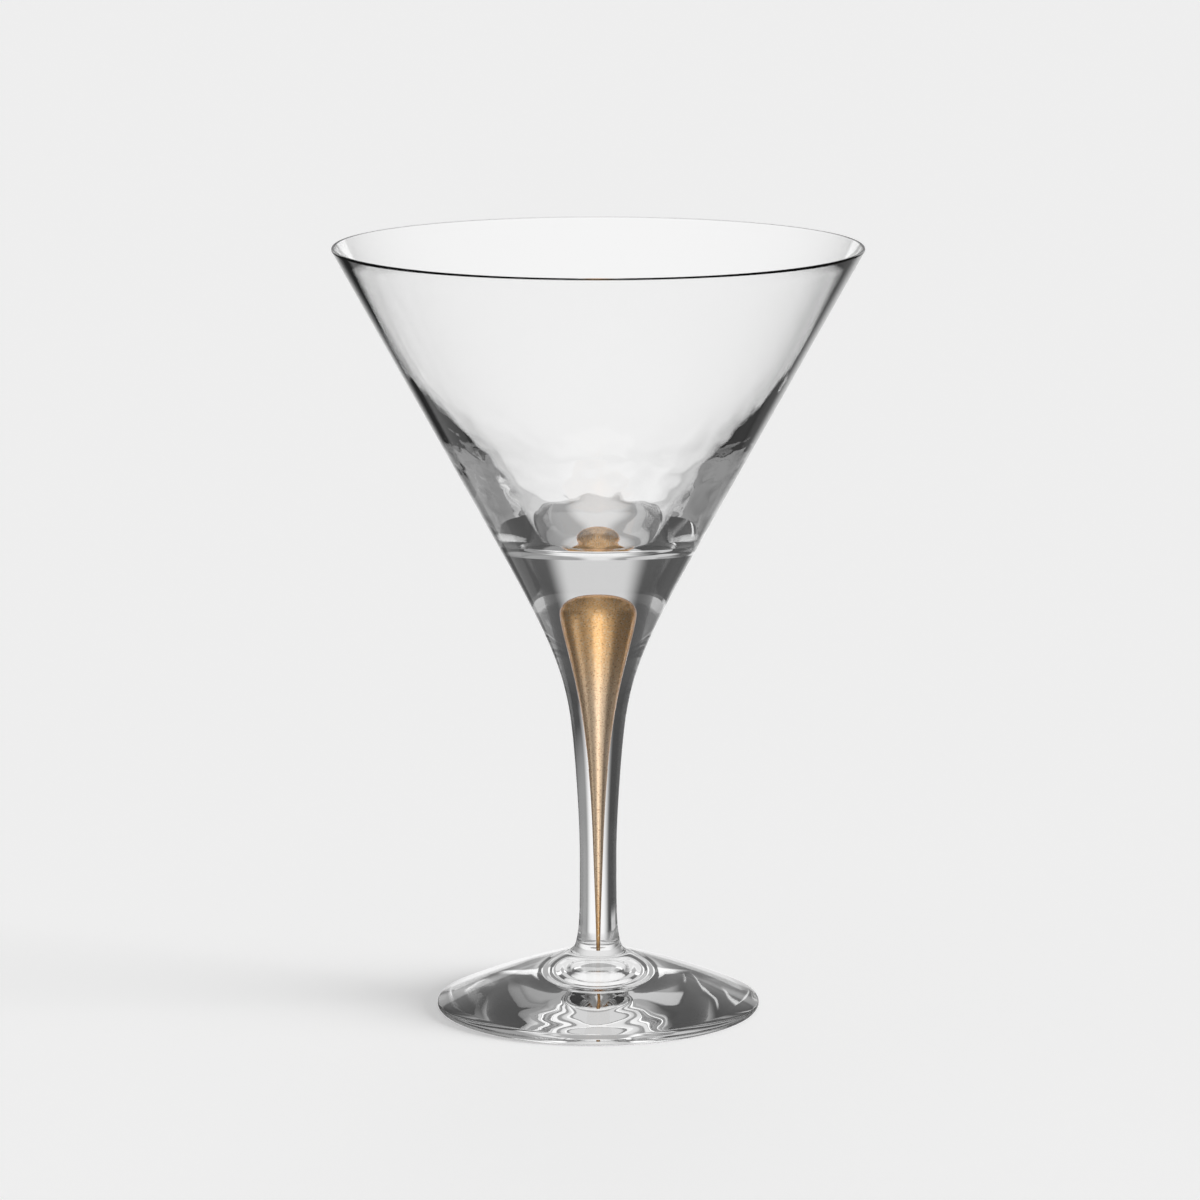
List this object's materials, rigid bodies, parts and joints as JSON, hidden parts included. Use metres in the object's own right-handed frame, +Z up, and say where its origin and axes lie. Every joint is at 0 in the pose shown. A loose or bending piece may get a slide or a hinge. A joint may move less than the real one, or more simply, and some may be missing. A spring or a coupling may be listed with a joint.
{
  "type": "martini glass",
  "caption": "Martini glass with a thick-based conical bowl, a clear stem that holds a gilded drop with a long drawn tail, and a shallow trumpet foot.",
  "frame": {"origin": "centre of the circle that the foot stands on", "axes": "+Z up along the stem's axis, from the foot to the rim; the glass is round about Z"},
  "size_m": [0.1162, 0.1162, 0.17],
  "materials": {
    "bowl_glass": "clear blown glass, fire-polished rim",
    "stem_glass": "clear solid glass, drawn by hand",
    "foot_glass": "clear glass, fire-polished edge",
    "gold_leaf": "satin gold leaf with fine pits and specks, cased in glass",
    "gold_tail": "pale satin gold, drawn thin",
    "core_glass": "clear glass, sealed behind the leaf"
  },
  "bodies": {
    "root": {"bowl": "bowl_glass", "stem": "stem_glass", "foot": "foot_glass", "gold_leaf": "gold_leaf", "gold_tail": "gold_tail", "drop_core": "core_glass"}
  },
  "joints": []
}
